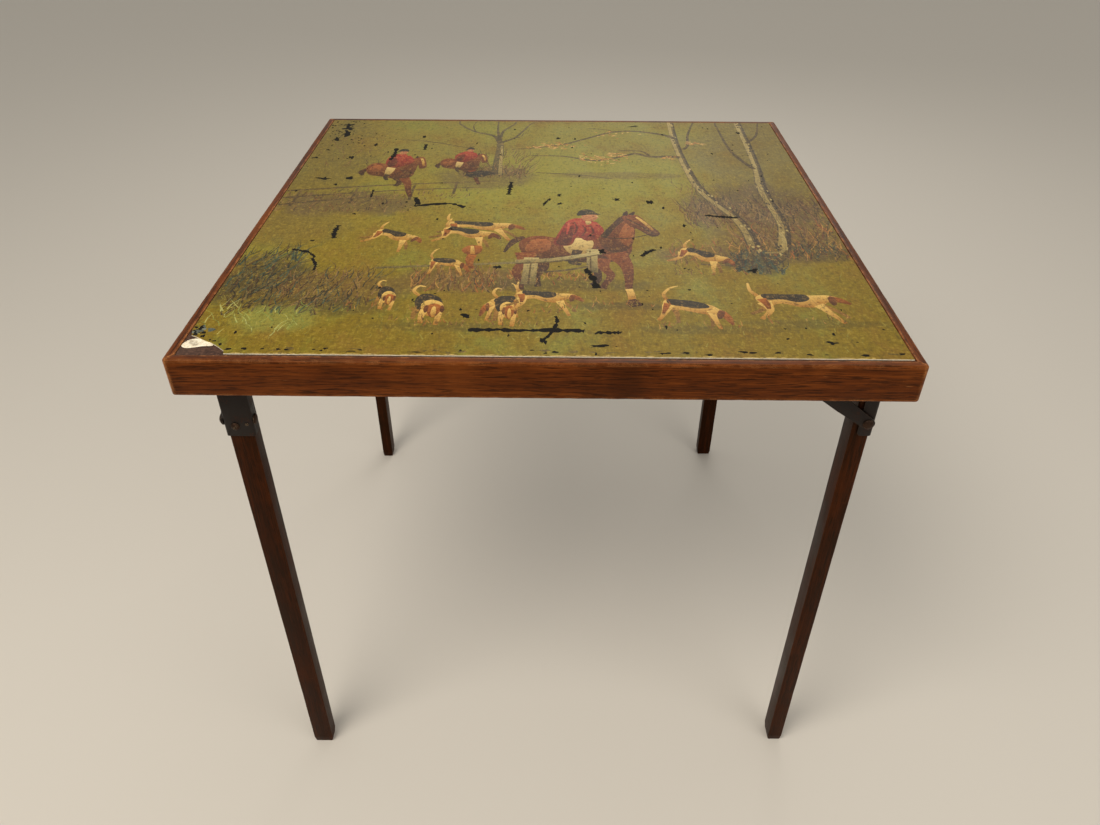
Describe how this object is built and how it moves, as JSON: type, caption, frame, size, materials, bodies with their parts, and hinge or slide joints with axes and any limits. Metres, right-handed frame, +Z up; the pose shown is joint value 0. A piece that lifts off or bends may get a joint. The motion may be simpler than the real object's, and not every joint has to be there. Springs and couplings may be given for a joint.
{
  "type": "folding table",
  "caption": "Square wooden folding card table with a printed top panel and legs that fold up along the rails.",
  "frame": {"origin": "on the floor, under the centre of the table top", "axes": "+Z up; the front rail is on the -Y side, +X to the right seen from the front"},
  "size_m": [0.75, 0.75, 0.687],
  "materials": {
    "rail_wood": "stained and varnished, worn at the edges",
    "leg_wood": "dark stained and varnished, scratched",
    "board": "bare dark fibreboard",
    "printed_sheet": "varnished printed card, chipped",
    "dark_steel": "dark bronzed pressed steel",
    "worn_steel": "dull tarnished steel"
  },
  "bodies": {
    "table_top": {"front_rail": "rail_wood", "right_rail": "rail_wood", "back_rail": "rail_wood", "left_rail": "rail_wood", "top_board": "board", "print_sheet": "printed_sheet", "corner_bracket_fr": "dark_steel", "pivot_rivet_fr": "worn_steel", "track_plate_fr": "dark_steel", "bracket_screw_fr": "worn_steel", "track_screw_fr": "worn_steel", "side_screw_fr": "worn_steel", "corner_bracket_br": "dark_steel", "pivot_rivet_br": "worn_steel", "track_plate_br": "dark_steel", "bracket_screw_br": "worn_steel", "track_screw_br": "worn_steel", "side_screw_br": "worn_steel", "corner_bracket_bl": "dark_steel", "pivot_rivet_bl": "worn_steel", "track_plate_bl": "dark_steel", "bracket_screw_bl": "worn_steel", "track_screw_bl": "worn_steel", "side_screw_bl": "worn_steel", "corner_bracket_fl": "dark_steel", "pivot_rivet_fl": "worn_steel", "track_plate_fl": "dark_steel", "bracket_screw_fl": "worn_steel", "track_screw_fl": "worn_steel", "side_screw_fl": "worn_steel"},
    "leg_fr": {"leg_fr": "leg_wood", "leg_cap_fr": "dark_steel", "cap_screw_fr": "worn_steel", "cap_tack_fr": "worn_steel", "brace_rivet_fr": "worn_steel"},
    "brace_fr": {"brace_fr": "dark_steel", "slide_pin_fr": "worn_steel"},
    "leg_br": {"leg_br": "leg_wood", "leg_cap_br": "dark_steel", "cap_screw_br": "worn_steel", "cap_tack_br": "worn_steel", "brace_rivet_br": "worn_steel"},
    "brace_br": {"brace_br": "dark_steel", "slide_pin_br": "worn_steel"},
    "leg_bl": {"leg_bl": "leg_wood", "leg_cap_bl": "dark_steel", "cap_screw_bl": "worn_steel", "cap_tack_bl": "worn_steel", "brace_rivet_bl": "worn_steel"},
    "brace_bl": {"brace_bl": "dark_steel", "slide_pin_bl": "worn_steel"},
    "leg_fl": {"leg_fl": "leg_wood", "leg_cap_fl": "dark_steel", "cap_screw_fl": "worn_steel", "cap_tack_fl": "worn_steel", "brace_rivet_fl": "worn_steel"},
    "brace_fl": {"brace_fl": "dark_steel", "slide_pin_fl": "worn_steel"}
  },
  "joints": [
    {"name": "fold_leg_fr", "type": "hinge", "parent": "table_top", "child": "leg_fr", "pos_m": [0.3455, -0.326, 0.6505], "axis": [0, 1, 0], "range_deg": [0, 90]},
    {"name": "swing_brace_fr", "type": "hinge", "parent": "leg_fr", "child": "brace_fr", "pos_m": [0.3445, -0.34325, 0.593], "axis": [0, 1, 0], "range_deg": [-120.6, 0]},
    {"name": "fold_leg_br", "type": "hinge", "parent": "table_top", "child": "leg_br", "pos_m": [0.326, 0.3455, 0.6505], "axis": [-1, 0, 0], "range_deg": [0, 90]},
    {"name": "swing_brace_br", "type": "hinge", "parent": "leg_br", "child": "brace_br", "pos_m": [0.34325, 0.3445, 0.593], "axis": [-1, 0, 0], "range_deg": [-120.6, 0]},
    {"name": "fold_leg_bl", "type": "hinge", "parent": "table_top", "child": "leg_bl", "pos_m": [-0.3455, 0.326, 0.6505], "axis": [0, -1, 0], "range_deg": [0, 90]},
    {"name": "swing_brace_bl", "type": "hinge", "parent": "leg_bl", "child": "brace_bl", "pos_m": [-0.3445, 0.34325, 0.593], "axis": [0, -1, 0], "range_deg": [-120.6, 0]},
    {"name": "fold_leg_fl", "type": "hinge", "parent": "table_top", "child": "leg_fl", "pos_m": [-0.326, -0.3455, 0.6505], "axis": [1, 0, 0], "range_deg": [0, 90]},
    {"name": "swing_brace_fl", "type": "hinge", "parent": "leg_fl", "child": "brace_fl", "pos_m": [-0.34325, -0.3445, 0.593], "axis": [1, 0, 0], "range_deg": [-120.6, 0]}
  ],
  "couplings": [
    {"joint": "swing_brace_fr", "follows": "fold_leg_fr", "ratio": -1.34},
    {"joint": "swing_brace_br", "follows": "fold_leg_br", "ratio": -1.34},
    {"joint": "swing_brace_bl", "follows": "fold_leg_bl", "ratio": -1.34},
    {"joint": "swing_brace_fl", "follows": "fold_leg_fl", "ratio": -1.34}
  ]
}
